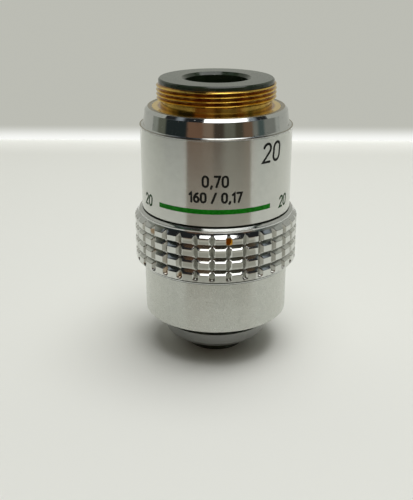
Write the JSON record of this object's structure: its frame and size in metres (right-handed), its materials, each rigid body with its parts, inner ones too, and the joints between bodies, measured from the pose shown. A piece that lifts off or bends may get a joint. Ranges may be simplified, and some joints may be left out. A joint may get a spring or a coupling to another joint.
{
  "type": "microscope objective",
  "caption": "Spring-loaded microscope objective: threaded brass mount, chromed housing with a padded grip ring, green stripe and a sliding nose that holds the lenses.",
  "frame": {"origin": "centre of the front rim, on which the objective stands", "axes": "+Z along the optical axis towards the rear thread; -Y is the side with the stripe"},
  "size_m": [0.0286, 0.0286, 0.0488],
  "materials": {
    "brass": "turned, lacquered",
    "black_stop": "black anodised, semi-gloss",
    "polished_chrome": "polished",
    "satin_chrome": "satin, turned",
    "green_enamel": "semi-gloss enamel",
    "steel": "plain",
    "black_barrel": "black, matt",
    "nose_chrome": "satin chrome",
    "black_cell": "black anodised",
    "glass": "polished, coated",
    "cell_metal": "dark anodised"
  },
  "bodies": {
    "barrel": {"mount_body": "brass", "rear_stop": "black_stop", "collar": "polished_chrome", "upper_sleeve": "satin_chrome", "color_stripe": "green_enamel", "grip_sleeve": "satin_chrome", "guide_screw": "steel", "return_spring": "steel", "parfocal_shim": "brass"},
    "nose": {"lens_barrel": "black_barrel", "nose_cap": "nose_chrome", "front_cell": "black_cell", "front_lens": "glass", "meniscus_cell": "cell_metal", "meniscus_lens": "glass", "doublet_cell": "cell_metal", "doublet_crown": "glass", "doublet_flint": "glass", "front_spacer": "brass", "triplet_cell": "cell_metal", "triplet_front": "glass", "triplet_core": "glass", "triplet_rear": "glass", "rear_spacer": "brass", "rear_cell": "cell_metal", "rear_flint": "glass", "rear_crown": "glass", "retaining_ring": "black_cell"}
  },
  "joints": [
    {"name": "nose_retract", "type": "slide", "parent": "barrel", "child": "nose", "axis": [0, 0, 1], "range_m": [0, 0.0018], "stiffness_N_per_m": 700, "springref_m": -0.005, "deforming": ["return_spring"]}
  ]
}
